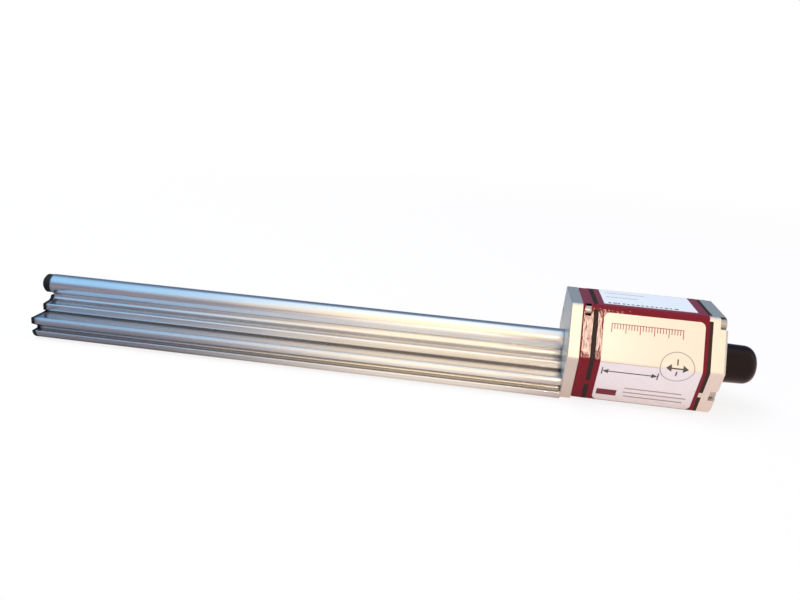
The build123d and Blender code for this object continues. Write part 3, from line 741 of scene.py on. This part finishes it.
topPrint = {
    "lines": ((17.5, 35.7, 8.0, 0.5), (17.0, 31.8, 1.2, 0.6)),
    "marks": (17.0, 46.5, -9.5),
    "markCount": 15,
    "markWidth": 1.2,
    "markHeight": 1.3,
    "wideMarks": (1, 14),
    "wideScale": 1.5,
    "narrowScale": 0.8,
    "fullEvery": 3,
}


def printTopLabel(look):
    top = nodes["top_label"]
    lines = [topBar(x0, x1, y - width / 2, y + width / 2) for x0, x1, y, width in look["lines"]]
    printOn(top, lines, "topLines", "greyInk", "Z")
    start, end, y = look["marks"]
    pitch = (end - start) / (look["markCount"] - 1)
    marks = []
    for i in range(look["markCount"]):
        scale = look["narrowScale"] if i % look["fullEvery"] else 1.0
        if i in look["wideMarks"]:
            scale = look["wideScale"]
        x = start + i * pitch
        marks.append(topBar(x, x + look["markWidth"] * scale, y, y + look["markHeight"]))
    printOn(top, marks, "topMarks", "darkInk", "Z")


printTopLabel(topPrint)
print("top label printed")


# Floor and light. Places are metres. A ramp is an axis, where it starts and ends, and its shape
floorLook = {
    "size": 8.0,
    "drop": 0.0002,
    "colour": "#FAF2F6",
    "glow": "#FFFFFF",
    "nearGlow": 0.84,
    "farGlow": 1.0,
    "fadeFrom": 0.25,
    "fadeTo": 0.9,
    "ramps": {
        "warmth": ("X", -0.23, -0.07, "SMOOTHSTEP"),
        "besideHead": ("X", -0.03, 0.0, "LINEAR"),
        "towardsEnd": ("X", 0.0, 0.07, "LINEAR"),
        "behind": ("Y", 0.05, 0.13, "LINEAR"),
        "near": ("Y", -0.07, -0.025, "LINEAR"),
    },
    # Painted reflection: colours and strengths of the glow that glossy rays see on the floor, with
    # nearShade as painted shade close to the part
    "coolShine": "#908E9C",
    "warmShine": "#FFF1DE",
    "closeShine": "#DCC4BB",
    "behindShine": "#A0AAB8",
    "coolStrength": 0.92,
    "warmStrength": 1.9,
    "closeStrength": 1.05,
    "endStrength": 1.5,
    "nearShade": 0.6,
    "shineShare": 0.9,
}


def paintedFloorReflection(tree, place, look):
    # Painted reflection, a glow that only the metal mirrors: cool at the far end, warm under the
    # middle, rosy beside the head and grey behind it, and painted shade close to the part
    ramps = rampsAlong(tree, place, look["ramps"])
    colour = look["coolShine"]
    layers = (("warmth", "warmShine"), ("besideHead", "closeShine"), ("behind", "behindShine"))
    for ramp, nextColour in layers:
        values = {0: ramps[ramp], 6: colour, 7: look[nextColour]}
        colour = addNode(tree, "Mix", values, data_type="RGBA").outputs[2]
    far = addNode(tree, "MapRange", {
        "Value": ramps["warmth"], "To Min": look["coolStrength"], "To Max": look["warmStrength"]})
    shade = addNode(tree, "MapRange", {
        "Value": ramps["near"], "To Min": 1.0, "To Max": look["nearShade"]})
    shaded = addNode(tree, "Math", {0: far.outputs[0], 1: shade.outputs[0]}, operation="MULTIPLY")
    head = addNode(tree, "MapRange", {
        "Value": ramps["towardsEnd"],
        "To Min": look["closeStrength"], "To Max": look["endStrength"]})
    strength = addNode(tree, "MapRange", {
        "Value": ramps["besideHead"], "To Min": shaded.outputs[0], "To Max": head.outputs[0]})
    shine = {"Color": colour, "Strength": strength.outputs[0]}
    return addNode(tree, "Emission", shine).outputs[0]


def addFloor(look):
    # White paper: pure white far away, with the object's soft shadow near it
    deselectAll()
    bpy.ops.mesh.primitive_plane_add(size=look["size"], location=(0, 0, -look["drop"]))
    floor = bpy.context.active_object
    floor.name = "paperFloor"
    material, tree, place = startMaterial("whitePaper")
    lit = addNode(tree, "BsdfDiffuse", {"Color": look["colour"]}).outputs[0]
    glow = addNode(tree, "Emission", {"Color": look["glow"], "Strength": 1.0}).outputs[0]
    distance = addNode(tree, "VectorMath", {0: place}, operation="LENGTH").outputs["Value"]
    glowShare = addNode(tree, "MapRange", {
        "Value": distance, "From Min": look["fadeFrom"], "From Max": look["fadeTo"],
        "To Min": look["nearGlow"], "To Max": look["farGlow"]}).outputs[0]
    rays = addNode(tree, "LightPath").outputs
    seen = {0: rays["Is Camera Ray"], 1: glowShare}
    seenShare = addNode(tree, "Math", seen, operation="MULTIPLY").outputs[0]
    paper = addNode(tree, "MixShader", {0: seenShare, 1: lit, 2: glow}).outputs[0]
    # Painted reflection: glossy rays see a coloured glow here in place of the paper
    mirrored = {0: rays["Is Glossy Ray"], 1: look["shineShare"]}
    shineShare = addNode(tree, "Math", mirrored, operation="MULTIPLY").outputs[0]
    shine = paintedFloorReflection(tree, place, look)
    whole = addNode(tree, "MixShader", {0: shineShare, 1: paper, 2: shine}).outputs[0]
    addNode(tree, "OutputMaterial", {"Surface": whole})
    floor.data.materials.append(material)


roomLook = {
    "ramps": {
        "warmth": ("X", -0.48, -0.12, "SMOOTHSTEP"),
        "height": ("Z", 0.22, 0.55, "LINEAR"),
        "rightward": ("X", 0.03, 0.15, "LINEAR"),
        "paler": ("X", 0.14, 0.26, "LINEAR"),
        "upward": ("Z", 0.75, 1.0, "LINEAR"),
        "backward": ("Y", 0.15, 0.6, "LINEAR"),
    },
    "coolLow": "#8A8AA0",
    "coolHigh": "#98D4FF",
    "warmSide": "#FFE7BF",
    "rightSide": "#FFEBD6",
    "overhead": "#E0EEFB",
    "behind": "#6C86A8",
    "seen": "#FFFFFF",
    "strength": 0.79,
    "shineBoost": 1.1,
    "rightShare": 0.74,
    "skyShare": 0.4,
}


def roomColour(tree, ramps, look):
    # Sky from the left and above, warm in front, paler to the right, and dim blue behind
    cool = {0: ramps["height"], 6: look["coolLow"], 7: look["coolHigh"]}
    coolSide = addNode(tree, "Mix", cool, data_type="RGBA").outputs[2]
    warm = {0: ramps["paler"], 6: look["warmSide"], 7: look["rightSide"]}
    warmLow = addNode(tree, "Mix", warm, data_type="RGBA").outputs[2]
    above = {0: ramps["upward"], 6: warmLow, 7: look["overhead"]}
    warmSide = addNode(tree, "Mix", above, data_type="RGBA").outputs[2]
    front = {0: ramps["warmth"], 6: coolSide, 7: warmSide}
    frontSide = addNode(tree, "Mix", front, data_type="RGBA").outputs[2]
    whole = {0: ramps["backward"], 6: frontSide, 7: look["behind"]}
    return addNode(tree, "Mix", whole, data_type="RGBA").outputs[2]


def roomStrength(tree, ramps, look):
    # Metal mirrors the warm front brighter than it lights the part, less so to the right
    rays = addNode(tree, "LightPath").outputs
    forward = addNode(tree, "Math", {0: 1.0, 1: ramps["backward"]}, operation="SUBTRACT")
    fading = addNode(tree, "MapRange", {
        "Value": ramps["rightward"], "To Min": 1.0, "To Max": 1.0 - look["rightShare"]})
    sky = addNode(tree, "MapRange", {"Value": ramps["height"], "To Max": look["skyShare"]})
    share = addNode(tree, "MapRange", {
        "Value": ramps["warmth"], "To Min": sky.outputs[0], "To Max": fading.outputs[0]})
    inFront = {0: forward.outputs[0], 1: share.outputs[0]}
    warmFront = addNode(tree, "Math", inFront, operation="MULTIPLY").outputs[0]
    mirrored = {0: rays["Is Glossy Ray"], 1: warmFront}
    boosted = addNode(tree, "Math", mirrored, operation="MULTIPLY").outputs[0]
    total = {0: boosted, 1: look["shineBoost"], 2: look["strength"]}
    return addNode(tree, "Math", total, operation="MULTIPLY_ADD").outputs[0]


def addWorld(look):
    # A pale room that lights the part, while the camera sees plain white
    world = bpy.data.worlds.new("studio")
    bpy.context.scene.world = world
    world.use_nodes = True
    tree = world.node_tree
    tree.nodes.clear()
    rays = addNode(tree, "LightPath").outputs
    direction = addNode(tree, "TexCoord").outputs["Generated"]
    ramps = rampsAlong(tree, direction, look["ramps"])
    light = {"Color": roomColour(tree, ramps, look), "Strength": roomStrength(tree, ramps, look)}
    room = addNode(tree, "Background", light).outputs[0]
    white = addNode(tree, "Background", {"Color": look["seen"], "Strength": 1.0}).outputs[0]
    shade = addNode(tree, "MixShader", {0: rays["Is Camera Ray"], 1: room, 2: white}).outputs[0]
    addNode(tree, "OutputWorld", {"Surface": shade})


# Places and sizes in metres, power in watts; only a mirrored lamp shows in glossy surfaces
lampLooks = {
    # Small warm lamp whose glare lies on the red cap and the housing's left end
    "glareLamp": {
        "place": (0.129, -0.764, 0.464), "aim": (0.0128, -0.0195, 0.0352),
        "size": (0.042, 0.066), "power": 0.46, "colour": "#FFEED4", "mirrored": True},
    # Broad cool light from above, which casts the soft shadow
    "skyPanel": {
        "place": (-0.5, -0.1, 1.3), "aim": (-0.1, 0, 0),
        "size": (1.2, 1.0), "power": 16.5, "colour": "#DCE9FA", "mirrored": False},
    # Warm fill from the front right
    "warmPanel": {
        "place": (0.5, -1.2, 0.9), "aim": (0.0, 0, 0.02),
        "size": (0.8, 0.8), "power": 2.9, "colour": "#FFD08A", "mirrored": False},
}


def addLamp(name, look):
    data = bpy.data.lights.new(name, "AREA")
    data.shape = "RECTANGLE"
    data.size, data.size_y = look["size"]
    data.energy = look["power"]
    data.color = linearColour(look["colour"])[:3]
    lamp = bpy.data.objects.new(name, data)
    bpy.context.scene.collection.objects.link(lamp)
    lamp.location = look["place"]
    lamp.visible_glossy = look["mirrored"]
    away = Vector(look["place"]) - Vector(look["aim"])
    lamp.rotation_euler = away.to_track_quat("Z", "Y").to_euler()


addFloor(floorLook)
addWorld(roomLook)
for name, look in lampLooks.items():
    addLamp(name, look)
bpy.context.scene.view_settings.view_transform = "Standard"
print("stage and lights placed")
